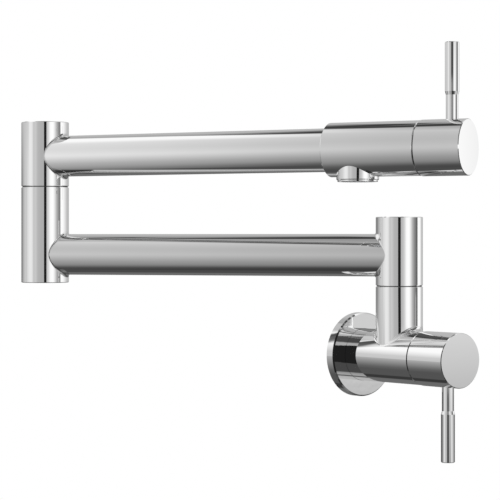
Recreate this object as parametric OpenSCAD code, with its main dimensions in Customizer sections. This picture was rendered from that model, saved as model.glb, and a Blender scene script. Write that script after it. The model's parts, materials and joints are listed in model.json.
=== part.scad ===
// Wall mounted pot filler: a double jointed swing spout with a quarter turn lever valve at each end.
// Millimetres. The origin is the centre of the inlet at the wall. The wall is the plane Y = 0, the
// object stands out of it towards -Y, and +Z is up.

/* [Arms] */
// Distance between the upright axes of the post and the elbow
arm_reach = 254; // [200:1:320]
// Distance from the elbow axis to the rear face of the outlet body
spout_run = 222.4; // [180:0.1:300]
// Outside diameter of both arm tubes
arm_d = 28.5; // [26:0.1:30]
// Wall of both arm tubes
arm_wall = 1.6; // [1:0.1:2.6]

/* [Wall side] */
// Distance from the wall to the upright axis of the post
wall_to_post = 40.7; // [39:0.1:60]
// Distance from the post axis to the front face of the valve body
valve_nose = 24.6; // [22:0.1:28]
// Outside diameter of the valve body and of the outlet body
body_d = 35.4; // [34.5:0.1:40]
// Height of the lower swivel above the inlet axis
post_seam_h = 47.3; // [46:0.1:70]
// Width of the wall flange outside the valve body
flange_lip = 10.8; // [9.5:0.1:20]
// Thickness of the wall flange
flange_t = 6.6; // [6:0.1:10]
// Bore of the half inch inlet thread
inlet_d = 18.6; // [17.5:0.1:19.5]
// Depth of the inlet thread
inlet_l = 14; // [12:0.5:16]

/* [Post and elbow] */
// Outside diameter of the post
post_d = 31.5; // [30.5:0.1:34]
// Outside diameter of the elbow
elbow_d = 33.4; // [32:0.1:38]
// Wall of the post sleeve and of both elbow pieces
column_wall = 3; // [2.4:0.1:3.4]
// Height of the lower arm axis above the lower swivel
post_rise = 20.5; // [20:0.1:26]
// Height of the post above the lower arm axis
post_top = 25.6; // [22:0.1:36]
// Depth of the elbow below the lower arm axis
elbow_foot = 19.8; // [19:0.1:30]
// Height of the upper swivel above the lower arm axis
elbow_seam_rise = 47.5; // [46:0.1:80]
// Height of the upper arm axis above the upper swivel
elbow_rise = 21.3; // [20.5:0.1:26]
// Height of the elbow above the upper arm axis
elbow_top = 24.1; // [22:0.1:36]

/* [Outlet] */
// Length of the outlet body
outlet_body_l = 63.8; // [60:0.1:72]
// Distance from the rear face of the outlet body to the outlet axis
outlet_back = 18.9; // [17:0.1:20]
// Outside diameter of the outlet nozzle
outlet_d = 27.8; // [27:0.1:30]
// Drop of the aerator's lip below the outlet body
lip_drop = 3.3; // [2.8:0.1:8]

/* [Levers] */
// Outside diameter of the lever hubs
hub_d = 36; // [34:0.1:40]
// Length of the lever hubs
hub_l = 31.1; // [29:0.1:38]
// Distance from the rear face of a hub to its lever
lever_back = 19.9; // [15:0.1:22]
// Reach of a lever from the hub axis
lever_reach = 66.6; // [50:0.1:90]
// Distance from the hub axis to the step of a lever
lever_step = 35.3; // [25:0.1:45]
// Diameter of the lever grip
lever_d = 9.1; // [8.4:0.1:11]
// Diameter of the lever neck
neck_d = 7.9; // [7:0.1:8.2]

/* [Pose] */
// Direction of the lower arm, counted from +X
arm_swing = 123.9; // [0:0.1:360]
// Direction of the upper arm, counted from +X
spout_swing = -67.6; // [-180:0.1:180]

/* [Hidden] */
$fn = 96;

// Clearances and the overrun that every cut shares
seat_gap = 0.05;
run_gap = 0.05;
swivel_gap = 0.6;
hub_gap = 0.5;
overrun = 1;

// Small edge bevels
edge_bevel = 0.4;
flange_bevel = 0.9;

// Places that follow from the driving sizes
lower_axis_h = post_seam_h + post_rise;
elbow_seam_h = lower_axis_h + elbow_seam_rise;
upper_axis_h = elbow_seam_h + elbow_rise;
valve_front = wall_to_post + valve_nose;
outlet_at = spout_run + outlet_back;
outlet_front = spout_run + outlet_body_l;
outlet_drop = body_d / 2 + lip_drop;
flange_d = body_d + 2 * flange_lip;
elbow_x = arm_reach * cos(arm_swing);
elbow_y = arm_reach * sin(arm_swing) - wall_to_post;
post_bore = post_d - 2 * column_wall;
elbow_bore = elbow_d - 2 * column_wall;
arm_bore = arm_d - 2 * arm_wall;

// Water ways
water_d = 14;
pipe_bore = 12;

// Turning spigots of both swivels: head, shank, seal grooves and snap ring
spigot_d = 22;
spigot_l = 26;
spigot_head_h = 6;
seal_d = 2.4;
groove_w = 2.6;
groove_depth = 2.5;
first_seal = 5;
second_seal = 10;
snap_at = 17;
snap_wire = 2;
snap_room = 0.4;
snap_angle = 330;
washer_t = 0.5;
washer_inset = 0.8;
washer_room = 0.3;
bush_l = 25;
plug_t = 5;

// Wall flange
flange_gap = 0.1;
flange_rim = 2.5;
flange_collar = 3.9;
flange_skin = 2.6;
flange_seal = 2.4;

// Strainer in the inlet
strainer_t = 1.6;
strainer_step = 0.8;
strainer_hole = 1.5;
strainer_pitch = 2.2;
strainer_rings = 3;

// Quarter turn cartridge and its openings, with their shares of the body's diameter, measured back
// from the front face of the body
port_share = 0.7345;
chamber_share = 0.6497;
cart_share = 0.5537;
port_d = body_d * port_share;
chamber_d = body_d * chamber_share;
cart_d = body_d * cart_share;
cart_wall = 1.4;
cart_cavity = cart_d - 2 * cart_wall;
cart_l = 32;
port_l = 12;
cart_roof = 16;
collar_t = 4;
collar_room = 0.3;
cart_neck_d = 13;
cart_neck_out = 2.5;
base_seal_t = 2.4;
base_seal_room = 0.6;
base_seal_rim = 2.3;
base_seal_d = cart_cavity - 2 * base_seal_room;
base_seal_bore = base_seal_d - 2 * base_seal_rim;
fixed_disc_t = 3;
moving_disc_t = 2.8;
disc_gap = 0.1;
disc_room = 0.4;
disc_port_share = 0.2857;
disc_port_at_share = 0.2619;
disc_port_d = cart_cavity * disc_port_share;
disc_port_at = cart_cavity * disc_port_at_share;
driver_t = 2.6;
driver_trim = 0.5;
dog_d = 2;
dog_l = 1.2;
dog_at_share = 0.3452;
dog_at = cart_cavity * dog_at_share;
dog_gap = 0.1;
window_w = 9;
window_h = 5;
nut_top = 1;
nut_slot_w = 3;
nut_slot_depth = 2.5;
nut_gap = 0.3;

// Spindle and its fit in the hub
spindle_d = 9;
spindle_tail_d = 8;
spindle_flat = 6.6;
spindle_out = 24;
tail_from = 3;
spindle_seal_d = 1.8;
spindle_seal_back = 5;
spindle_groove_w = 2;
spindle_groove_depth = 1.9;
hub_recess_d = 27;
hub_recess_l = 3.5;
hub_end_room = 0.5;
stud_d = 6;
stud_gap = 0.1;
neck_root = 3.5;
step_l = 2.2;

// Outlet body, water sleeve and aerator
socket_l = 5;
bulkhead_l = 14;
sleeve_wall = 2;
sleeve_tail = 3;
aerator_d = 24;
aerator_wall = 1.4;
lip_t = 1.2;
lip_inset = 0.7;
ledge_t = 1;
ledge_w = 1;
nozzle_bevel = 0.5;
pocket_h = 8.4;
outlet_hole_d = 9.5;
aerator_seal_t = 1.4;
aerator_seal_bore = 16;
insert_t = 5.5;
insert_gap = 0.1;
insert_hole = 2.1;
insert_pitch = 2.9;
insert_rings = 3;

// Frames: each puts its children where that group of pieces lies
module post_frame()
    translate([0, -wall_to_post, 0])
        children();

module lower_arm_frame()
    post_frame()
        rotate([0, 0, arm_swing])
            children();

module upper_arm_frame()
    translate([elbow_x, elbow_y, 0])
        rotate([0, 0, spout_swing])
            children();

// In both valve frames +Z runs out of the body's front face along the hub, and +X along the lever
module lower_valve_frame()
    translate([0, -valve_front, 0])
        rotate([90, 0, 0])
            rotate([0, 0, -90])
                children();

module upper_valve_frame()
    upper_arm_frame()
        translate([outlet_front, 0, upper_axis_h])
            rotate([0, 90, 0])
                rotate([0, 0, 180])
                    children();

// Shapes that repeat
module rod(d, l, bottom_bevel, top_bevel)
    rotate_extrude()
        polygon([
            [0, 0],
            [d / 2 - bottom_bevel, 0],
            [d / 2, bottom_bevel],
            [d / 2, l - top_bevel],
            [d / 2 - top_bevel, l],
            [0, l]
        ]);

module hole(d, from, to)
    translate([0, 0, from])
        cylinder(d = d, h = to - from);

module ring(d, bore, from, to)
    difference() {
        hole(d, from, to);
        hole(bore, from - overrun, to + overrun);
    }

module oring(inner_d, section_d)
    rotate_extrude()
        translate([inner_d / 2 + section_d / 2, 0])
            circle(d = section_d, $fn = 32);

module hex_grid(pitch, rings)
    for (row = [-rings:rings])
        for (step = [0:2 * rings - abs(row)])
            translate([(step - (2 * rings - abs(row)) / 2) * pitch, row * pitch * sqrt(3) / 2, 0])
                children();

// Upright column with a water hole in its wall, at hole_h above its foot
module column(d, bore, h, hole_h, hole_turn, bottom_bevel, top_bevel)
    difference() {
        rod(d, h, bottom_bevel, top_bevel);
        hole(bore, -overrun, h + overrun);
        translate([0, 0, hole_h])
            rotate([0, 90, hole_turn])
                hole(water_d, 0, d);
    }

// Spigot that hangs from the upper piece of a swivel and turns in the lower one, seam at z = 0
module spigot(head_d) {
    shank_r = spigot_d / 2;
    groove_r = shank_r - groove_depth;
    groove_points = [
        for (z = [-first_seal, -second_seal, -snap_at])
            each [
                [shank_r, z + groove_w / 2],
                [groove_r, z + groove_w / 2],
                [groove_r, z - groove_w / 2],
                [shank_r, z - groove_w / 2]
            ]
    ];
    rotate_extrude()
        polygon(concat(
            [
                [water_d / 2, swivel_gap / 2 + spigot_head_h],
                [head_d / 2, swivel_gap / 2 + spigot_head_h],
                [head_d / 2, swivel_gap / 2],
                [shank_r, swivel_gap / 2]
            ],
            groove_points,
            [
                [shank_r, -spigot_l + edge_bevel],
                [shank_r - edge_bevel, -spigot_l],
                [water_d / 2, -spigot_l]
            ]
        ));
}

// Bore in which a spigot turns, with the groove for its snap ring, seam at z = 0
module spigot_bore(depth) {
    hole(spigot_d + 2 * run_gap, -depth, overrun);
    translate([0, 0, -snap_at])
        hole(
            spigot_d + snap_wire + 2 * snap_room,
            -snap_wire / 2 - snap_room,
            snap_wire / 2 + snap_room
        );
}

module spigot_orings()
    for (z = [-first_seal, -second_seal])
        translate([0, 0, z])
            oring(spigot_d - 2 * seal_d, seal_d);

module snap_ring()
    translate([0, 0, -snap_at])
        rotate_extrude(angle = snap_angle)
            translate([spigot_d / 2, 0])
                circle(d = snap_wire, $fn = 32);

module swivel_washer(column_d)
    translate([0, 0, -swivel_gap / 2])
        ring(column_d - 2 * washer_inset, spigot_d + 2 * washer_room, 0, washer_t);

module end_plug(bore)
    rod(bore - 2 * seat_gap, plug_t, edge_bevel / 2, edge_bevel / 2);

// Openings that a cartridge needs in the front of its body
module cartridge_port(chamber_l) {
    hole(port_d, -port_l, overrun);
    hole(chamber_d, -chamber_l, overrun);
}

// Pieces of a cartridge, in a valve frame
cart_foot = -cart_l + base_seal_t - edge_bevel;
fixed_disc_z = -cart_l + base_seal_t;
moving_disc_z = fixed_disc_z + fixed_disc_t + disc_gap;
driver_z = moving_disc_z + moving_disc_t;
window_z = driver_z;
fixed_disc_d = cart_cavity - 2 * seat_gap;
moving_disc_d = cart_cavity - 2 * disc_room;

module cartridge_shell()
    color("goldenrod")
        difference() {
            rotate_extrude()
                polygon([
                    [cart_cavity / 2, cart_foot],
                    [cart_d / 2, cart_foot],
                    [cart_d / 2, -port_l],
                    [port_d / 2 - collar_room, -port_l],
                    [port_d / 2 - collar_room, -port_l + collar_t],
                    [cart_neck_d / 2, -port_l + collar_t],
                    [cart_neck_d / 2, cart_neck_out],
                    [spindle_d / 2 + run_gap, cart_neck_out],
                    [spindle_d / 2 + run_gap, -cart_roof],
                    [cart_cavity / 2, -cart_roof]
                ]);
            translate([-cart_d, -window_w / 2, window_z])
                cube([2 * cart_d, window_w, window_h]);
        }

module base_seal()
    color("dimgray")
        ring(base_seal_d, base_seal_bore, -cart_l, fixed_disc_z);

module disc_ports(turn)
    for (side = [0, 180])
        rotate([0, 0, side + turn])
            translate([disc_port_at, 0, 0])
                children();

module fixed_disc()
    color("ivory")
        difference() {
            hole(fixed_disc_d, fixed_disc_z, fixed_disc_z + fixed_disc_t);
            disc_ports(0)
                hole(disc_port_d, fixed_disc_z - overrun, fixed_disc_z + fixed_disc_t + overrun);
        }

module moving_disc()
    color("ivory")
        difference() {
            hole(moving_disc_d, moving_disc_z, driver_z);
            disc_ports(90)
                hole(disc_port_d, moving_disc_z - overrun, driver_z + overrun);
            for (side = [0, 180])
                rotate([0, 0, side])
                    translate([dog_at, 0, 0])
                        hole(dog_d + 2 * dog_gap, driver_z - dog_l - dog_gap, driver_z + overrun);
        }

module cartridge_nut()
    color("goldenrod")
        difference() {
            ring(port_d - 2 * seat_gap, cart_neck_d + 2 * nut_gap, -port_l + collar_t, -nut_top);
            translate([-port_d, -nut_slot_w / 2, -nut_top - nut_slot_depth])
                cube([2 * port_d, nut_slot_w, nut_slot_depth + overrun]);
        }

module spindle() {
    groove_z = -spindle_seal_back;
    groove_r = spindle_d / 2 - spindle_groove_depth;
    color("goldenrod") {
        rotate_extrude()
            polygon([
                [0, driver_z],
                [moving_disc_d / 2 - driver_trim, driver_z],
                [moving_disc_d / 2 - driver_trim, driver_z + driver_t],
                [spindle_d / 2, driver_z + driver_t],
                [spindle_d / 2, groove_z - spindle_groove_w / 2],
                [groove_r, groove_z - spindle_groove_w / 2],
                [groove_r, groove_z + spindle_groove_w / 2],
                [spindle_d / 2, groove_z + spindle_groove_w / 2],
                [spindle_d / 2, tail_from],
                [0, tail_from]
            ]);
        for (side = [0, 180])
            rotate([0, 0, side])
                translate([dog_at, 0, 0])
                    hole(dog_d, driver_z - dog_l, driver_z + driver_t / 2);
        intersection() {
            hole(spindle_tail_d, tail_from - overrun, spindle_out);
            translate([-spindle_flat / 2, -spindle_d, tail_from - overrun])
                cube([spindle_flat, 2 * spindle_d, spindle_out]);
        }
    }
}

module spindle_oring()
    color("dimgray")
        translate([0, 0, -spindle_seal_back])
            oring(spindle_d - 2 * spindle_seal_d, spindle_seal_d);

// Lever hub and lever, in a valve frame
lever_z = hub_gap + lever_back;
lever_root = hub_d / 2 - neck_root;

module hub()
    color("silver")
        difference() {
            translate([0, 0, hub_gap])
                rod(hub_d, hub_l, edge_bevel, edge_bevel);
            hole(hub_recess_d, 0, hub_gap + hub_recess_l);
            intersection() {
                hole(spindle_tail_d + 2 * seat_gap, hub_gap, spindle_out + hub_end_room);
                translate([-spindle_flat / 2 - seat_gap, -spindle_d, hub_gap])
                    cube([spindle_flat + 2 * seat_gap, 2 * spindle_d, spindle_out + hub_end_room]);
            }
            translate([0, 0, lever_z])
                rotate([0, 90, 0]) {
                    hole(stud_d + 2 * seat_gap, 0, hub_d);
                    hole(neck_d + 2 * seat_gap, lever_root - seat_gap, hub_d);
                }
        }

module lever()
    color("silver")
        translate([0, 0, lever_z])
            rotate([0, 90, 0])
                rotate_extrude()
                    polygon([
                        [0, spindle_flat / 2 + stud_gap],
                        [stud_d / 2, spindle_flat / 2 + stud_gap],
                        [stud_d / 2, lever_root],
                        [neck_d / 2, lever_root],
                        [neck_d / 2, lever_step - step_l],
                        [lever_d / 2, lever_step],
                        [lever_d / 2, lever_reach - edge_bevel],
                        [lever_d / 2 - edge_bevel, lever_reach],
                        [0, lever_reach]
                    ]);

// Wall side
flange_bore = body_d + 2 * flange_gap;
gasket_bore = flange_bore + 2 * flange_collar;
gasket_d = flange_d - 2 * flange_rim;

module wall_flange()
    color("silver")
        rotate([90, 0, 0])
            difference() {
                rod(flange_d, flange_t, 0, flange_bevel);
                hole(flange_bore, -overrun, flange_t + overrun);
                ring(gasket_d, gasket_bore, -overrun, flange_t - flange_skin);
                hole(
                    body_d + 2 * flange_seal + 4 * seat_gap,
                    flange_t / 2 - flange_seal / 2 - seat_gap,
                    flange_t / 2 + flange_seal / 2 + seat_gap
                );
            }

module wall_gasket()
    color("dimgray")
        rotate([90, 0, 0])
            ring(gasket_d - 2 * seat_gap, gasket_bore + 2 * seat_gap, 0, flange_t - flange_skin - seat_gap);

module flange_oring()
    color("dimgray")
        translate([0, -flange_t / 2, 0])
            rotate([90, 0, 0])
                oring(body_d + 2 * seat_gap, flange_seal);

strainer_d = inlet_d - 2 * strainer_step;
strainer_room_l = strainer_t + seat_gap;

module valve_body()
    color("silver")
        difference() {
            union() {
                rotate([90, 0, 0])
                    rod(body_d, valve_front, 0, edge_bevel);
                post_frame()
                    rod(post_d, post_seam_h - swivel_gap / 2, 0, edge_bevel);
            }
            rotate([90, 0, 0]) {
                hole(inlet_d, -overrun, inlet_l);
                hole(strainer_d + 2 * seat_gap, 0, inlet_l + strainer_room_l);
                hole(pipe_bore, 0, valve_front - cart_l + overrun);
            }
            lower_valve_frame()
                cartridge_port(cart_l);
            post_frame()
                translate([0, 0, post_seam_h])
                    spigot_bore(spigot_l + snap_room);
            post_frame()
                hole(water_d, chamber_d / 4, post_seam_h - spigot_l);
        }

module inlet_strainer()
    color("lightgray")
        rotate([90, 0, 0])
            difference() {
                hole(strainer_d, inlet_l, inlet_l + strainer_t);
                hex_grid(strainer_pitch, strainer_rings)
                    hole(strainer_hole, inlet_l - overrun, inlet_l + strainer_t + overrun);
            }

module post_washer()
    color("darkslategray")
        post_frame()
            translate([0, 0, post_seam_h])
                swivel_washer(post_d);

// Lower arm
post_sleeve_h = post_rise + post_top - swivel_gap / 2;

module post_sleeve()
    color("silver")
        lower_arm_frame()
            translate([0, 0, post_seam_h + swivel_gap / 2])
                column(
                    post_d, post_bore, post_sleeve_h, post_rise - swivel_gap / 2, 0,
                    edge_bevel, edge_bevel
                );

module post_cap()
    color("silver")
        lower_arm_frame()
            translate([0, 0, lower_axis_h + post_top - plug_t])
                end_plug(post_bore);

module post_spigot()
    color("goldenrod")
        lower_arm_frame()
            translate([0, 0, post_seam_h])
                spigot(post_bore - 2 * seat_gap);

module post_orings()
    color("dimgray")
        lower_arm_frame()
            translate([0, 0, post_seam_h])
                spigot_orings();

module post_snap_ring()
    color("lightgray")
        lower_arm_frame()
            translate([0, 0, post_seam_h])
                snap_ring();

module lower_arm_tube()
    color("silver")
        lower_arm_frame()
            translate([0, 0, lower_axis_h])
                difference() {
                    rotate([0, 90, 0])
                        ring(arm_d, arm_bore, 0, arm_reach);
                    hole(post_d + 2 * seat_gap, -arm_d, arm_d);
                    translate([arm_reach, 0, 0])
                        hole(elbow_d + 2 * seat_gap, -arm_d, arm_d);
                }

// Elbow, lower half on the lower arm and upper half on the upper arm
elbow_column_h = elbow_foot + elbow_seam_rise - swivel_gap / 2;
elbow_head_h = elbow_rise + elbow_top - swivel_gap / 2;

module elbow_frame()
    lower_arm_frame()
        translate([arm_reach, 0, 0])
            children();

module elbow_column()
    color("silver")
        elbow_frame()
            translate([0, 0, lower_axis_h - elbow_foot])
                column(
                    elbow_d, elbow_bore, elbow_column_h, elbow_foot, 180,
                    edge_bevel, edge_bevel
                );

module elbow_bush()
    color("goldenrod")
        elbow_frame()
            translate([0, 0, elbow_seam_h])
                difference() {
                    hole(elbow_bore - 2 * seat_gap, -bush_l, -swivel_gap / 2);
                    spigot_bore(bush_l + overrun);
                }

module elbow_plug()
    color("silver")
        elbow_frame()
            translate([0, 0, lower_axis_h - elbow_foot])
                end_plug(elbow_bore);

module elbow_washer()
    color("darkslategray")
        elbow_frame()
            translate([0, 0, elbow_seam_h])
                swivel_washer(elbow_d);

module elbow_head()
    color("silver")
        upper_arm_frame()
            translate([0, 0, elbow_seam_h + swivel_gap / 2])
                column(
                    elbow_d, elbow_bore, elbow_head_h, elbow_rise - swivel_gap / 2, 0,
                    edge_bevel, edge_bevel
                );

module elbow_cap()
    color("silver")
        upper_arm_frame()
            translate([0, 0, upper_axis_h + elbow_top - plug_t])
                end_plug(elbow_bore);

module elbow_spigot()
    color("goldenrod")
        upper_arm_frame()
            translate([0, 0, elbow_seam_h])
                spigot(elbow_bore - 2 * seat_gap);

module elbow_orings()
    color("dimgray")
        upper_arm_frame()
            translate([0, 0, elbow_seam_h])
                spigot_orings();

module elbow_snap_ring()
    color("lightgray")
        upper_arm_frame()
            translate([0, 0, elbow_seam_h])
                snap_ring();

// Upper arm with the outlet
module upper_axis_frame()
    upper_arm_frame()
        translate([0, 0, upper_axis_h])
            children();

module outlet_frame()
    upper_axis_frame()
        translate([outlet_at, 0, 0])
            children();

module upper_arm_tube()
    color("silver")
        upper_axis_frame()
            difference() {
                rotate([0, 90, 0])
                    ring(arm_d, arm_bore, 0, spout_run + socket_l - seat_gap);
                hole(elbow_d + 2 * seat_gap, -arm_d, arm_d);
            }

water_sleeve_d = pipe_bore + 2 * sleeve_wall;
chamber_l = outlet_body_l - bulkhead_l;

module outlet_body()
    color("silver")
        difference() {
            upper_axis_frame()
                translate([spout_run, 0, 0])
                    rotate([0, 90, 0])
                        rod(body_d, outlet_body_l, edge_bevel, edge_bevel);
            upper_axis_frame()
                rotate([0, 90, 0]) {
                    hole(arm_d + 2 * seat_gap, spout_run - overrun, spout_run + socket_l);
                    hole(water_sleeve_d + 2 * seat_gap, spout_run, outlet_front - chamber_l + overrun);
                }
            upper_valve_frame()
                cartridge_port(chamber_l);
            outlet_frame() {
                hole(aerator_d + 2 * seat_gap, -body_d, -outlet_drop + pocket_h);
                hole(outlet_hole_d, -outlet_drop, -chamber_d / 4);
            }
        }

module water_sleeve()
    color("goldenrod")
        upper_axis_frame()
            rotate([0, 90, 0])
                ring(
                    water_sleeve_d, pipe_bore,
                    spout_run + socket_l + sleeve_tail, outlet_front - cart_l
                );

module outlet_nozzle()
    color("silver")
        outlet_frame()
            difference() {
                translate([0, 0, -outlet_drop + lip_t])
                    rod(outlet_d, outlet_drop - lip_t, nozzle_bevel, 0);
                hole(aerator_d + 2 * seat_gap, -outlet_drop, overrun);
                translate([-outlet_d, 0, 0])
                    rotate([0, 90, 0])
                        hole(body_d + 2 * seat_gap, 0, 2 * outlet_d);
            }

aerator_top = -outlet_drop + pocket_h - aerator_seal_t;

module aerator_housing()
    color("silver")
        outlet_frame()
            rotate_extrude()
                polygon([
                    [aerator_d / 2 - aerator_wall - ledge_w, -outlet_drop],
                    [outlet_d / 2 - lip_inset - edge_bevel, -outlet_drop],
                    [outlet_d / 2 - lip_inset, -outlet_drop + edge_bevel],
                    [outlet_d / 2 - lip_inset, -outlet_drop + lip_t],
                    [aerator_d / 2, -outlet_drop + lip_t],
                    [aerator_d / 2, aerator_top],
                    [aerator_d / 2 - aerator_wall, aerator_top],
                    [aerator_d / 2 - aerator_wall, -outlet_drop + ledge_t],
                    [aerator_d / 2 - aerator_wall - ledge_w, -outlet_drop + ledge_t]
                ]);

module aerator_insert()
    color("whitesmoke")
        outlet_frame()
            difference() {
                hole(
                    aerator_d - 2 * aerator_wall - 2 * insert_gap,
                    -outlet_drop + ledge_t, -outlet_drop + ledge_t + insert_t
                );
                hex_grid(insert_pitch, insert_rings)
                    hole(insert_hole, -outlet_drop, -outlet_drop + ledge_t + insert_t + overrun);
            }

module aerator_seal()
    color("dimgray")
        outlet_frame()
            ring(aerator_d - 2 * insert_gap, aerator_seal_bore, aerator_top, aerator_top + aerator_seal_t - seat_gap);

// Each node draws one sub-part
wall_flange();
wall_gasket();
flange_oring();
valve_body();
inlet_strainer();
post_washer();
lower_valve_frame() cartridge_shell();  // lower_cartridge
lower_valve_frame() fixed_disc();  // lower_fixed_disc
lower_valve_frame() base_seal();  // lower_base_seal
lower_valve_frame() cartridge_nut();  // lower_cartridge_nut
post_sleeve();
post_cap();
post_spigot();
post_orings();
post_snap_ring();
lower_arm_tube();
elbow_column();
elbow_bush();
elbow_plug();
elbow_washer();
elbow_head();
elbow_cap();
elbow_spigot();
elbow_orings();
elbow_snap_ring();
upper_arm_tube();
outlet_body();
water_sleeve();
outlet_nozzle();
aerator_housing();
aerator_insert();
aerator_seal();
upper_valve_frame() cartridge_shell();  // upper_cartridge
upper_valve_frame() fixed_disc();  // upper_fixed_disc
upper_valve_frame() base_seal();  // upper_base_seal
upper_valve_frame() cartridge_nut();  // upper_cartridge_nut
lower_valve_frame() hub();  // lower_hub
lower_valve_frame() lever();  // lower_lever
lower_valve_frame() spindle();  // lower_spindle
lower_valve_frame() spindle_oring();  // lower_spindle_oring
lower_valve_frame() moving_disc();  // lower_moving_disc
upper_valve_frame() hub();  // upper_hub
upper_valve_frame() lever();  // upper_lever
upper_valve_frame() spindle();  // upper_spindle
upper_valve_frame() spindle_oring();  // upper_spindle_oring
upper_valve_frame() moving_disc();  // upper_moving_disc
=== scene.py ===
"""Looks for the wall mounted pot filler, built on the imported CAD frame. Lengths are in metres.

The CAD nodes carry the shapes. This script gives each of them a procedural finish, adds the rolled
fillets that are left where one round bar is joined to another, and sets up the camera, the floor and a
plain studio: a white background with soft grey flags and four nearer cards that only reflections see.
"""

import json
import math

import bmesh
import bpy
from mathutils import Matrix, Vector


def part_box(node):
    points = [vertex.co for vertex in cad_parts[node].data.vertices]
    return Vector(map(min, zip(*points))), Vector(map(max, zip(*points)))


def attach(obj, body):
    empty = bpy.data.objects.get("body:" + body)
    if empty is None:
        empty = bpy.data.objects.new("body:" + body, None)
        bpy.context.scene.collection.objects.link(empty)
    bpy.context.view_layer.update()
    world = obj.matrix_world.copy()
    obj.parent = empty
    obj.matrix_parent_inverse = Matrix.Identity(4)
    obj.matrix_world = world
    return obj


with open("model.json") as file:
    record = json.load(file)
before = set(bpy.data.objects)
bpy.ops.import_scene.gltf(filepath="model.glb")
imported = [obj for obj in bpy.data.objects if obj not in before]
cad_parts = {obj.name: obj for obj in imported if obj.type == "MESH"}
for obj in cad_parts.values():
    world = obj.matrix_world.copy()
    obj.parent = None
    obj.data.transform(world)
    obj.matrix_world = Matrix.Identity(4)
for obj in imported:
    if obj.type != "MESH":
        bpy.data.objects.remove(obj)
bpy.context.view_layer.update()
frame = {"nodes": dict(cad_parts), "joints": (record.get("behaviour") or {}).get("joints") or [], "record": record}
nodes = frame["nodes"]
joints = {joint["name"]: joint for joint in frame["joints"]}

AXIS_X = 0
AXIS_Z = 2
IN_DEGREES = 180 / math.pi
FULL_TURN = 360.0


def half_size(node, axis):
    """Half of a node's size along one of the frame's axes."""
    low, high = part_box(node)
    return (high[axis] - low[axis]) / 2


def middle(node, axis):
    """The middle of a node along one of the frame's axes."""
    low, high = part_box(node)
    return (high[axis] + low[axis]) / 2


# Sizes that follow from the frame
post_axis = Vector(joints["lower_swivel"]["pos_m"])
elbow_axis = Vector(joints["upper_swivel"]["pos_m"])
body_radius = -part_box("valve_body")[0].z
post_radius = half_size("post_sleeve", AXIS_X)
elbow_radius = half_size("elbow_head", AXIS_X)
arm_radius = half_size("lower_arm_tube", AXIS_Z)

# Camera: where the photograph was taken from, in its frame of 500 by 500 pixels. The view is turned
# from the frame's y axis, and the post's foot lies to the right of the eye's line, at a depth.
IMAGE_PX = 500
FOCAL_PX = 1921.74
HORIZON_PX = 236.93
SENSOR_MM = 36
VIEW_TURN = math.radians(40.09)
POST_DEPTH = 1.28442
POST_RIGHT = 0.09976
EYE_HEIGHT = 0.08005

# Floor: diffuse up to the shade's reach, plain white from the fade's reach on
FLOOR_DROP = 0.45
FLOOR_SIZE = 14.0
FLOOR_WHITE = 0.92
FLOOR_SHADE_REACH = 0.7
FLOOR_FADE_REACH = 2.2

# Rolled fillets: on the valve body, and the smaller ones where the arms meet the post and the elbow.
# Their closed backs lie under the surfaces that they join.
STUB_FILLET_RADIUS = 0.0032
POST_END_FILLET_RADIUS = 0.0013
ELBOW_END_FILLET_RADIUS = 0.0019
FILLET_SINK = 0.0004
FILLET_STEPS_AROUND = 192
FILLET_STEPS_ACROSS = 14

# Finishes: the noise's detail by use, the range that most of its values lie in, and the chrome's values
CLOUD_DETAIL = 3.0
GRAIN_DETAIL = 2.0
WAVE_DETAIL = 1.0
NOISE_LOW = 0.25
NOISE_HIGH = 0.75
PLAIN_CLOUD = 40.0
CHROME_DARK = (0.915, 0.915, 0.915)
CHROME_LIGHT = (0.945, 0.945, 0.945)
CHROME_GRAIN = 900.0
CHROME_GRAIN_HEIGHT = 0.0000003
CHROME_CLOUD = 14.0

# Studio seen in the metal. Azimuth 0 points from the part to where the photograph was taken, and 90 to
# the right of the picture. Elevation is in degrees above the horizon. A level of 1 is white, and each
# list runs straight between its stops.
AROUND = [(-180, .5), (-150, .2), (-137, .27), (-124, .46), (-113, .57), (-96, .68), (-82, .8),
          (-72, .88), (-62, .85), (-58, .78), (-54, .66), (-50, .57), (-44, .64), (-37, .59),
          (-29, .49), (-12, .455), (0, .45), (9, .52), (16, .6), (21, .7), (31, 1.04),
          (42, 1.08), (48, 1.0), (52, .87), (58, .68), (63, .5), (69, .39), (75, .28),
          (82, .22), (89, .13), (180, .13)]
UPWARDS = [(-90, .05), (-77, .07), (-71, .085), (-65, .14), (-59, .27), (-53, .39), (-47, .47),
           (-35, .58), (-23, .73), (-11, .89), (-3, .98), (2, 1.0), (7, .985), (17, .94),
           (29, .9), (41, .92), (54, .98), (62, 1.05), (67, .85), (72, .6), (80, .5), (90, .45)]

# Past the edge on the right, another list takes over from AROUND
SIDE_EDGE = 99.5
BEHIND = [(-180, 1.0), (106, 1.0), (114, .86), (122, .76), (132, .6), (150, .5), (180, .52)]

# On the right, below the foot of the dark side, these two lists hold instead
SIDE_FOOT = -2.75
SIDE_FOOT_SOFT = 0.3
AROUND_LOW = [(-180, .6), (0, .5), (20, .6), (37, .75), (50, 1.0), (66, 1.0), (75, .92),
              (82, .66), (88, .62), (100, .55), (116, .3), (132, .15), (180, .15)]
UPWARDS_LOW = [(-90, .1), (-50, .3), (-12, .75), (-5, .78), (-4.4, .87), (-2.9, 1.12), (90, 1.12)]

# On the left, round the direction that the arms point in, except close to the horizon
LEFT_CENTRE = -117.5
LEFT_REACH = 38
LEFT_SOFT = 6
LEFT_CLEAR = 3
LEFT_CLEAR_SOFT = 4
UPWARDS_LEFT = [(-90, .05), (-46, .09), (-35, .1), (-29, .125), (-23, .19), (-17, .265),
                (-11, .34), (-6, .42), (0, .53), (6, .65), (11, .78), (17, .92), (23, 1.04),
                (60, 1.04), (90, .6)]

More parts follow.
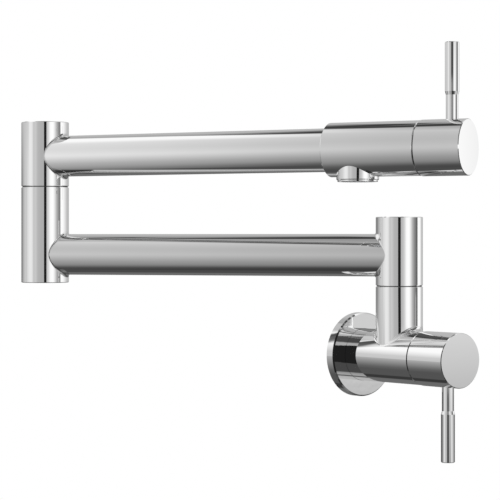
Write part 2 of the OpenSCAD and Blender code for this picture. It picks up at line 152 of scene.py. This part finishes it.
# Where AROUND is read by the angle from LEFT_CENTRE: azimuth from and to, softness of each end. The
# second holds only high above and far below the horizon.
BENT_LEVEL = (-97, -14, 12, 12)
BENT_STEEP = (-150, -60, 10, 10)
BENT_STEEP_FROM = 50
BENT_STEEP_SOFT = 8

# Soft flags: azimuth from and to, softness of each end, elevation from and to, softness of each end,
# level. Those on the left run on past -180, round the back.
LEFT_FLAGS = [
    (-215, -124, 10, 14, -56, -8, 12, 10, .09),
    (-215, -158, 10, 10, -60, -10, 10, 10, .15),
    (-132, -104, 10, 6, -56, -34, 12, 4, .09),
    (-157, -139, 5, 5, -56, -40, 6, 4, .04),
    (-215, -146, 10, 4, 15, 60, 10, 8, .42),
    (-145, -100, 4, 34, 44, 64, 16, 8, 1.03),
    (-205, -162, 8, 8, 8, 46, 8, 8, .5),
    (-220, -118, 10, 20, -75, -56, 6, 6, .07),
]
FRONT_FLAGS = [
    (-3, 38, 5, 5, 8, 21, 8, 4, .07),
    (-3, 38, 5, 5, 33, 50, 4, 8, .07),
    (-3, 38, 5, 5, -50, -8, 8, 8, .07),
    (30, 104, 20, 8, 31, 59, 6, 3, .09),
    (-20, 62, 8, 10, -64, -50, 4, 4, .03),
]
NARROW_FLAGS = [
    (82.4, 85.2, .4, .4, -2.9, -1.7, .3, .3, .66),
    (-17, 8, 5, 5, -14, -4.6, .4, .4, .03),
    (-20, 8, 20, 5, 4.7, 8, .4, .4, .03),
    (-165, -106, 5, 10, -14, -4, 1, 1, .1),
    (-99, -92, 3, 3, -4, 2, 2, 2, .61),
]

# Round flags: azimuth, elevation, radius, softness, level
SPOTS = [(-150, 68, 8.5, 5, .05), (-168, 64, 4, 4, .06)]

# A ring shaped flag round the right: its centre's azimuth, its radii, softness and level. It keeps
# clear of the horizon and ends at an azimuth.
RING_CENTRE = 90
RING_BAND = (44, 50, 3, 3)
RING_LEVEL = 0.09
RING_CLEAR = 6
RING_CLEAR_SOFT = 3
RING_END = 122

# Level of the studio for rays that aren't mirrored
PLAIN_LEVEL = 0.9

# Cards that only reflections see. Right and ahead are those of the photograph's view, measured from the
# post's foot. The first card, measured from the eye, is the dark figure of whoever stands there.
FIGURE_WIDTH = 0.29
FIGURE_SHIFT = 0.015
FIGURE_FOOT = -1.0
FIGURE_HEAD = 1.5
FIGURE_LEVELS = (0.015, 0.015)

# A white card on the right, edge on to the view
SIDE_CARD_RIGHT = 0.28
SIDE_CARD_NEAR = 0.02
SIDE_CARD_FAR = 0.16
SIDE_CARD_HEAD = 0.25
SIDE_CARD_LEVELS = (1.05, 1.05)

# A dark card high up behind the arms, mirrored along their tops. It grows darker up to a height.
TOP_CARD_RIGHT = -0.18
TOP_CARD_AHEAD = 0.268
TOP_CARD_AZIMUTH = -152
TOP_CARD_WIDTH = 0.238
TOP_CARD_FOOT = 0.473
TOP_CARD_DARK_FROM = 0.648
TOP_CARD_HEAD = 0.788
TOP_CARD_LEVELS = (0.38, 0.05)

# A light card that the upper hub's flat cap mirrors
CAP_CARD_AWAY = 0.3
CAP_CARD_SIZE = 0.07
CAP_CARD_LEVELS = (0.80, 1.16)

# Lamp overhead
LAMP_HEIGHT = 1.6
LAMP_SIZE = 1.4
LAMP_POWER = 6.0

# Sockets of the Mix node: its factor, and its two values and its output as numbers and as colours
MIX_FACTOR = 0
MIX_NUMBERS = (2, 3)
MIX_NUMBER_OUT = 0
MIX_COLOURS = (6, 7)
MIX_COLOUR_OUT = 2


def new_object(name, data):
    """Puts a new object in the scene."""
    made = bpy.data.objects.new(name, data)
    bpy.context.scene.collection.objects.link(made)
    return made


# Node helpers
def new_material(name):
    """A material with its node tree and its shader."""
    made = bpy.data.materials.new(name)
    made.use_nodes = True
    shader = made.node_tree.nodes["Principled BSDF"]
    return made, made.node_tree, shader


def put(tree, kind, **settings):
    """Adds a node; settings whose names are properties of it are set."""
    made = tree.nodes.new(kind)
    for name, value in settings.items():
        setattr(made, name, value)
    return made


def feed(tree, socket, value):
    """Links a socket's output into a socket, or sets a plain value on it."""
    if isinstance(value, bpy.types.NodeSocket):
        tree.links.new(value, socket)
    else:
        socket.default_value = value


def feed_all(tree, made, values):
    """Feeds a node's first sockets in their order."""
    for socket, value in zip(made.inputs, values):
        feed(tree, socket, value)


def calc(tree, operation, *values):
    """A Math node on one to three values."""
    made = put(tree, "ShaderNodeMath", operation=operation)
    feed_all(tree, made, values)
    return made.outputs[0]


def vector_calc(tree, operation, *values):
    """A Vector Math node whose result is a number."""
    made = put(tree, "ShaderNodeVectorMath", operation=operation)
    feed_all(tree, made, values)
    return made.outputs["Value"]


def step(tree, value, low, high):
    """0 below low, 1 above high, smooth between them."""
    made = put(tree, "ShaderNodeMapRange", interpolation_type="SMOOTHSTEP")
    feed(tree, made.inputs["Value"], value)
    made.inputs["From Min"].default_value = low
    made.inputs["From Max"].default_value = high
    return made.outputs["Result"]


def spread(tree, value, low, high, to_low, to_high):
    """A straight map from one range to another."""
    made = put(tree, "ShaderNodeMapRange")
    feed(tree, made.inputs["Value"], value)
    for name, number in (("From Min", low), ("From Max", high), ("To Min", to_low), ("To Max", to_high)):
        made.inputs[name].default_value = number
    return made.outputs["Result"]


def blend(tree, factor, first, second):
    """first where factor is 0, second where it is 1."""
    made = put(tree, "ShaderNodeMix", data_type="FLOAT")
    feed(tree, made.inputs[MIX_FACTOR], factor)
    for number, value in zip(MIX_NUMBERS, (first, second)):
        feed(tree, made.inputs[number], value)
    return made.outputs[MIX_NUMBER_OUT]


def blend_shaders(tree, factor, first, second):
    """The first shader where factor is 0, the second where it is 1."""
    made = put(tree, "ShaderNodeMixShader")
    feed_all(tree, made, (factor, first, second))
    return made.outputs[0]


def ramp(tree, value, stops):
    """A grey level that runs straight between stops of (value, level)."""
    low = stops[0][0]
    high = stops[-1][0]
    made = put(tree, "ShaderNodeValToRGB")
    feed(tree, made.inputs[0], spread(tree, value, low, high, 0, 1))
    points = made.color_ramp.elements
    while len(points) > 1:
        points.remove(points[-1])
    for number, (place, level) in enumerate(stops):
        share = (place - low) / (high - low)
        point = points[0] if number == 0 else points.new(share)
        point.position = share
        point.color = (level, level, level, 1)
    return made.outputs["Color"]


# Finishes
def noise(tree, scale, detail):
    """Noise in the part's own metres; scale is in features per metre."""
    made = put(tree, "ShaderNodeTexNoise")
    feed(tree, made.inputs["Vector"], put(tree, "ShaderNodeTexCoord").outputs["Object"])
    made.inputs["Scale"].default_value = scale
    made.inputs["Detail"].default_value = detail
    return made.outputs["Fac"]


def tint(tree, factor, dark, light):
    """Colour between two tones."""
    made = put(tree, "ShaderNodeMix", data_type="RGBA")
    feed(tree, made.inputs[MIX_FACTOR], factor)
    for number, tone in zip(MIX_COLOURS, (dark, light)):
        made.inputs[number].default_value = (*tone, 1)
    return made.outputs[MIX_COLOUR_OUT]


def bump(tree, height, distance, over=None):
    """Relief of a height in metres, over another relief where there is one."""
    made = put(tree, "ShaderNodeBump")
    feed(tree, made.inputs["Height"], height)
    made.inputs["Distance"].default_value = distance
    if over is not None:
        feed(tree, made.inputs["Normal"], over)
    return made.outputs["Normal"]


def finish(name, dark, light, rough, grain, grain_height, metallic=0.0, cloud=PLAIN_CLOUD, wave=None):
    """A surface with clouded colour, varying roughness, a fine grain and, if asked for, a slow wave.
    Grain, cloud and wave are in features per metre."""
    made, tree, shader = new_material(name)
    clouds = noise(tree, cloud, CLOUD_DETAIL)
    fine = noise(tree, grain, GRAIN_DETAIL)
    relief = bump(tree, fine, grain_height)
    if wave is not None:
        wave_scale, wave_height = wave
        relief = bump(tree, noise(tree, wave_scale, WAVE_DETAIL), wave_height, relief)
    feed(tree, shader.inputs["Base Color"], tint(tree, clouds, dark, light))
    feed(tree, shader.inputs["Roughness"], spread(tree, fine, NOISE_LOW, NOISE_HIGH, *rough))
    feed(tree, shader.inputs["Normal"], relief)
    shader.inputs["Metallic"].default_value = metallic
    return made


def chrome_finish(name, rough, wave=None):
    """Chrome plate, polished to a range of roughness."""
    return finish(name, CHROME_DARK, CHROME_LIGHT, rough, CHROME_GRAIN, CHROME_GRAIN_HEIGHT,
                  metallic=1.0, cloud=CHROME_CLOUD, wave=wave)


finishes = {
    "chrome": chrome_finish("chrome_plate", (0.004, 0.018)),
    "brass": finish("turned_brass", (0.70, 0.50, 0.22), (0.80, 0.60, 0.30), (0.22, 0.38),
                    1400.0, 0.00002, metallic=1.0, cloud=90.0),
    "rubber": finish("seal_rubber", (0.018, 0.018, 0.019), (0.035, 0.035, 0.036), (0.55, 0.75),
                     2600.0, 0.00003),
    "ceramic": finish("lapped_ceramic", (0.80, 0.79, 0.75), (0.88, 0.87, 0.84), (0.12, 0.22),
                      3000.0, 0.000004),
    # The washers' dark grey is partly their own graphite filled colour and partly painted shade, so that the
    # narrow seams between the swivelling parts look dark
    "ptfe": finish("dark_ptfe_and_seam_shade", (0.030, 0.030, 0.032), (0.060, 0.060, 0.062), (0.42, 0.58),
                   1600.0, 0.00001),
    "steel": finish("spring_steel", (0.52, 0.52, 0.53), (0.64, 0.64, 0.65), (0.20, 0.34),
                    1800.0, 0.00001, metallic=1.0, cloud=120.0),
    "plastic": finish("moulded_plastic", (0.62, 0.63, 0.64), (0.72, 0.73, 0.74), (0.38, 0.52),
                      2200.0, 0.00002),
}

# The same chrome where it was pressed flat, and where it was blended by hand over a casting
pressed_chrome = chrome_finish("pressed_chrome", (0.006, 0.022), wave=(170.0, 0.00002))
blended_chrome = chrome_finish("blended_chrome", (0.09, 0.15))


def dress(node, material):
    """Gives a CAD node its finish."""
    materials = nodes[node].data.materials
    materials.clear()
    materials.append(material)


for part in frame["record"]["subparts"]:
    dress(part["node"], finishes[part["material_slot"]])
dress("wall_flange", pressed_chrome)


# Rolled fillets
def fillet_section(ball, to_stub, to_bar, radius):
    """The points of a fillet's arc from the stub to the bar, and the three that close it underneath."""
    turn = to_stub.angle(to_bar)
    arc = []
    for count in range(FILLET_STEPS_ACROSS + 1):
        share = count / FILLET_STEPS_ACROSS
        first = math.sin((1 - share) * turn) / math.sin(turn)
        second = math.sin(share * turn) / math.sin(turn)
        arc.append(ball + radius * (first * to_stub + second * to_bar))
    under_bar = arc[-1] + FILLET_SINK * to_bar
    under_stub = arc[0] + FILLET_SINK * to_stub
    corner = ball + (radius + FILLET_SINK) / math.cos(turn / 2) * (to_stub + to_bar).normalized()
    return arc + [under_bar, corner, under_stub]


def rolled_fillet(name, material, crossing, stub_axis, along_body, stub_radius, bar_radius, radius):
    """The surface a ball leaves when it rolls round a stub and on the bar the stub stands on, closed
    underneath. The two axes cross at a right angle."""
    shell = bmesh.new()
    rings = []
    side_axis = stub_axis.cross(along_body)
    reach = stub_radius + radius
    for number in range(FILLET_STEPS_AROUND):
        angle = math.tau * number / FILLET_STEPS_AROUND
        aside = reach * math.cos(angle)
        height = math.sqrt((bar_radius + radius) ** 2 - aside ** 2)
        out = side_axis * math.cos(angle) + along_body * math.sin(angle)
        ball = crossing + reach * out + height * stub_axis
        to_bar = -(aside * side_axis + height * stub_axis).normalized()
        section = fillet_section(ball, -out, to_bar, radius)
        rings.append([shell.verts.new(point) for point in section])
    size = len(rings[0])
    for number, ring in enumerate(rings):
        following = rings[(number + 1) % FILLET_STEPS_AROUND]
        for count in range(size):
            after = (count + 1) % size
            face = shell.faces.new((ring[count], ring[after], following[after], following[count]))
            face.smooth = count < FILLET_STEPS_ACROSS
    bmesh.ops.recalc_face_normals(shell, faces=shell.faces)
    mesh = bpy.data.meshes.new(name)
    shell.to_mesh(mesh)
    shell.free()
    mesh.materials.append(material)
    return new_object(name, mesh)


up = Vector((0, 0, 1))
from_wall = Vector((0, -1, 0))
post_foot = Vector((post_axis.x, post_axis.y, 0))
elbow_foot = Vector((elbow_axis.x, elbow_axis.y, 0))
lower_arm_way = (elbow_foot - post_foot).normalized()
upper_arm_way = Vector(joints["upper_lever_turn"]["axis"]).normalized()
lower_crossing = middle("lower_arm_tube", AXIS_Z) * up
upper_crossing = middle("upper_arm_tube", AXIS_Z) * up

# Body it rides on, name, chrome, crossing of the axes, stub's and bar's axis, their and the ball's radius
chrome = finishes["chrome"]
fillets = [
    ("wall_side", "post_fillet", blended_chrome, post_foot, up, from_wall,
     post_radius, body_radius, STUB_FILLET_RADIUS),
    ("lower_arm", "lower_arm_post_fillet", chrome, post_foot + lower_crossing, lower_arm_way, up,
     arm_radius, post_radius, POST_END_FILLET_RADIUS),
    ("lower_arm", "lower_arm_elbow_fillet", chrome, elbow_foot + lower_crossing, -lower_arm_way, up,
     arm_radius, elbow_radius, ELBOW_END_FILLET_RADIUS),
    ("upper_arm", "upper_arm_fillet", chrome, elbow_foot + upper_crossing, upper_arm_way, up,
     arm_radius, elbow_radius, ELBOW_END_FILLET_RADIUS),
]
for body, *shape in fillets:
    fillet = rolled_fillet(*shape)
    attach(fillet, body)

# Camera
ahead = Vector((math.sin(VIEW_TURN), math.cos(VIEW_TURN), 0))
right = Vector((math.cos(VIEW_TURN), -math.sin(VIEW_TURN), 0))
eye = post_foot - right * POST_RIGHT - ahead * POST_DEPTH + up * EYE_HEIGHT
lens = bpy.data.cameras.new("camera")
lens.sensor_width = SENSOR_MM
lens.lens = FOCAL_PX / IMAGE_PX * SENSOR_MM
lens.shift_y = (HORIZON_PX - IMAGE_PX / 2) / IMAGE_PX
camera = new_object("camera", lens)
camera.location = eye
camera.rotation_euler = ahead.to_track_quat("-Z", "Y").to_euler()
bpy.context.scene.camera = camera


# Studio
def rise(tree, value, at, soft):
    """0 below, 1 above, smooth over a width of soft."""
    return step(tree, value, at - soft / 2, at + soft / 2)


def flip(tree, share):
    """What a share leaves of 1."""
    return calc(tree, "SUBTRACT", 1.0, share)


def both(tree, first, second):
    """Where two shares overlap."""
    return calc(tree, "MULTIPLY", first, second)


def band(tree, value, low, high, soft_low, soft_high):
    """1 between low and high, 0 outside, smooth at each end."""
    return both(tree, rise(tree, value, low, soft_low), flip(tree, rise(tree, value, high, soft_high)))


def flag(tree, under, around, above, values):
    """Lays a soft edged rectangle of one level over what is there."""
    across = band(tree, around, *values[:4])
    upright = band(tree, above, *values[4:8])
    return blend(tree, both(tree, across, upright), under, values[8])


def towards_angle(around, above):
    """The direction at an azimuth and an elevation."""
    azimuth = math.radians(around)
    elevation = math.radians(above)
    level_part = right * math.sin(azimuth) - ahead * math.cos(azimuth)
    return level_part * math.cos(elevation) + up * math.sin(elevation)


def angle_from(tree, ray, around, above):
    """Degrees between the ray and a direction."""
    along = vector_calc(tree, "DOT_PRODUCT", ray, towards_angle(around, above))
    return calc(tree, "MULTIPLY", calc(tree, "ARCCOSINE", along), IN_DEGREES)


def spot(tree, under, ray, around, above, radius, soft, level):
    """Lays a soft edged disc of one level over what is there."""
    inside = flip(tree, rise(tree, angle_from(tree, ray, around, above), radius, soft))
    return blend(tree, inside, under, level)


def studio_level(tree):
    """How bright the studio looks along a ray, for the metal that mirrors it."""
    ray = put(tree, "ShaderNodeTexCoord").outputs["Generated"]
    sideways = vector_calc(tree, "DOT_PRODUCT", ray, right)
    frontwards = vector_calc(tree, "DOT_PRODUCT", ray, -ahead)
    upwards = vector_calc(tree, "DOT_PRODUCT", ray, up)
    around = calc(tree, "MULTIPLY", calc(tree, "ARCTAN2", sideways, frontwards), IN_DEGREES)
    above = calc(tree, "MULTIPLY", calc(tree, "ARCSINE", upwards), IN_DEGREES)
    steep = calc(tree, "ABSOLUTE", above)
    on_right = calc(tree, "GREATER_THAN", around, 0.0)
    wrapped = calc(tree, "SUBTRACT", around, calc(tree, "MULTIPLY", FULL_TURN, on_right))

    # On the left the horizon's levels bend round the direction that the arms point in
    from_left = angle_from(tree, ray, LEFT_CENTRE, 0)
    bent_steep = both(tree, band(tree, around, *BENT_STEEP),
                      rise(tree, steep, BENT_STEEP_FROM, BENT_STEEP_SOFT))
    bent = calc(tree, "MAXIMUM", band(tree, around, *BENT_LEVEL), bent_steep)
    place = blend(tree, bent, around, calc(tree, "ADD", from_left, LEFT_CENTRE))
    past_edge = calc(tree, "GREATER_THAN", around, SIDE_EDGE)
    level = blend(tree, past_edge, ramp(tree, place, AROUND), ramp(tree, around, BEHIND))
    level = calc(tree, "MULTIPLY", level, ramp(tree, above, UPWARDS))

    # On the right the dark side ends a little below the horizon
    under_side = calc(tree, "MULTIPLY", ramp(tree, around, AROUND_LOW), ramp(tree, above, UPWARDS_LOW))
    below = both(tree, flip(tree, rise(tree, above, SIDE_FOOT, SIDE_FOOT_SOFT)), on_right)
    level = blend(tree, below, level, under_side)

    near_left = both(tree, flip(tree, rise(tree, from_left, LEFT_REACH, LEFT_SOFT)),
                     rise(tree, steep, LEFT_CLEAR, LEFT_CLEAR_SOFT))
    level = blend(tree, near_left, level, ramp(tree, above, UPWARDS_LEFT))

    # Flags lie one over the other, so their order counts
    for values in LEFT_FLAGS:
        level = flag(tree, level, wrapped, above, values)
    for values in SPOTS:
        level = spot(tree, level, ray, *values)
    for values in FRONT_FLAGS:
        level = flag(tree, level, around, above, values)
    in_ring = both(tree, band(tree, angle_from(tree, ray, RING_CENTRE, 0), *RING_BAND),
                   rise(tree, steep, RING_CLEAR, RING_CLEAR_SOFT))
    in_ring = both(tree, in_ring, calc(tree, "LESS_THAN", around, RING_END))
    level = blend(tree, in_ring, level, RING_LEVEL)
    for values in NARROW_FLAGS:
        level = flag(tree, level, around, above, values)
    return level


world = bpy.data.worlds.new("studio")
world.use_nodes = True
bpy.context.scene.world = world
sky = world.node_tree
paths = put(sky, "ShaderNodeLightPath")
mirrored = calc(sky, "MAXIMUM", paths.outputs["Is Glossy Ray"], paths.outputs["Is Transmission Ray"])
sky_level = blend(sky, mirrored, PLAIN_LEVEL, studio_level(sky))
sky_level = blend(sky, paths.outputs["Is Camera Ray"], sky_level, 1.0)
feed(sky, sky.nodes["Background"].inputs["Color"], sky_level)


# Cards
def stage_sheet(name, across, upright, material):
    """A flat stage piece round the origin, from its two half sides."""
    corners = [-across - upright, across - upright, across + upright, upright - across]
    mesh = bpy.data.meshes.new(name)
    mesh.from_pydata([tuple(corner) for corner in corners], [], [(0, 1, 2, 3)])
    mesh.materials.append(material)
    made = new_object(name, mesh)
    return made


def glow(name, levels, axis, start, end):
    """A card's light, running from one level to another between two places on one of its own axes."""
    made, tree, shader = new_material(name)
    tree.nodes.remove(shader)
    across = put(tree, "ShaderNodeSeparateXYZ")
    feed(tree, across.inputs[0], put(tree, "ShaderNodeTexCoord").outputs["Object"])
    light = put(tree, "ShaderNodeEmission")
    feed(tree, light.inputs["Strength"], spread(tree, across.outputs[axis], start, end, *levels))
    feed(tree, tree.nodes["Material Output"].inputs["Surface"], light.outputs[0])
    return made


def reflected_card(name, centre, half_across, half_up, levels, upwards=None):
    """A card that only mirrors see. Its level runs across it, or upwards between two places."""
    wide = half_across.length
    tall = half_up.length
    light = glow(name, levels, "X", -wide, wide) if upwards is None else glow(name, levels, "Z", *upwards)
    made = stage_sheet(name, Vector((wide, 0, 0)), Vector((0, 0, tall)), light)
    made.rotation_euler = half_across.normalized().to_track_quat("X", "Z").to_euler()
    made.location = centre
    made.visible_camera = False
    made.visible_diffuse = False
    made.visible_transmission = False
    made.visible_shadow = False


figure_centre = Vector((eye.x, eye.y, (FIGURE_FOOT + FIGURE_HEAD) / 2)) + right * FIGURE_SHIFT
reflected_card("camera_figure", figure_centre, right * FIGURE_WIDTH / 2,
               up * (FIGURE_HEAD - FIGURE_FOOT) / 2, FIGURE_LEVELS)

side_middle = ahead * (SIDE_CARD_NEAR + SIDE_CARD_FAR) / 2 + up * SIDE_CARD_HEAD / 2
reflected_card("side_card", post_foot + right * SIDE_CARD_RIGHT + side_middle,
               ahead * (SIDE_CARD_FAR - SIDE_CARD_NEAR) / 2, up * SIDE_CARD_HEAD / 2, SIDE_CARD_LEVELS)

top_middle = (TOP_CARD_FOOT + TOP_CARD_HEAD) / 2
top_centre = post_foot + right * TOP_CARD_RIGHT + ahead * TOP_CARD_AHEAD + up * top_middle
reflected_card("top_card", top_centre, towards_angle(TOP_CARD_AZIMUTH, 0).cross(up) * TOP_CARD_WIDTH / 2,
               up * (TOP_CARD_HEAD - TOP_CARD_FOOT) / 2, TOP_CARD_LEVELS,
               (TOP_CARD_FOOT - top_middle, TOP_CARD_DARK_FROM - top_middle))

hub_place = Vector(joints["upper_lever_turn"]["pos_m"])
cap_reach = max((vertex.co - hub_place).dot(upper_arm_way) for vertex in nodes["upper_hub"].data.vertices)
cap_centre = hub_place + upper_arm_way * cap_reach
bounce = (cap_centre - eye).normalized().reflect(upper_arm_way)
reflected_card("cap_card", cap_centre + bounce * CAP_CARD_AWAY, bounce.cross(up) * CAP_CARD_SIZE / 2,
               up * CAP_CARD_SIZE / 2, CAP_CARD_LEVELS)


# Floor
def floor_material():
    """Diffuse and shadowed round the object, plain white further out, clear from below."""
    made, tree, shader = new_material("floor_paint")
    shader.inputs["Roughness"].default_value = 1
    shader.inputs["Specular IOR Level"].default_value = 0
    shader.inputs["Base Color"].default_value = (FLOOR_WHITE, FLOOR_WHITE, FLOOR_WHITE, 1)
    reach = vector_calc(tree, "LENGTH", put(tree, "ShaderNodeTexCoord").outputs["Object"])
    far = step(tree, reach, FLOOR_SHADE_REACH, FLOOR_FADE_REACH)
    white = put(tree, "ShaderNodeEmission").outputs[0]
    top = blend_shaders(tree, far, shader.outputs[0], white)
    from_below = put(tree, "ShaderNodeNewGeometry").outputs["Backfacing"]
    clear = put(tree, "ShaderNodeBsdfTransparent").outputs[0]
    whole = blend_shaders(tree, from_below, top, clear)
    feed(tree, tree.nodes["Material Output"].inputs["Surface"], whole)
    return made


floor_half = FLOOR_SIZE / 2
floor = stage_sheet("floor", Vector((floor_half, 0, 0)), Vector((0, floor_half, 0)), floor_material())
floor.location = (0, 0, -FLOOR_DROP)
floor.visible_glossy = False

# Soft lamp overhead, for the floor's shadow
lamp = bpy.data.lights.new("softbox", "AREA")
lamp.size = LAMP_SIZE
lamp.energy = LAMP_POWER
softbox = new_object("softbox", lamp)
softbox.location = (0, 0, LAMP_HEIGHT)
softbox.visible_glossy = False
softbox.visible_camera = False

bpy.context.scene.view_settings.view_transform = "Standard"
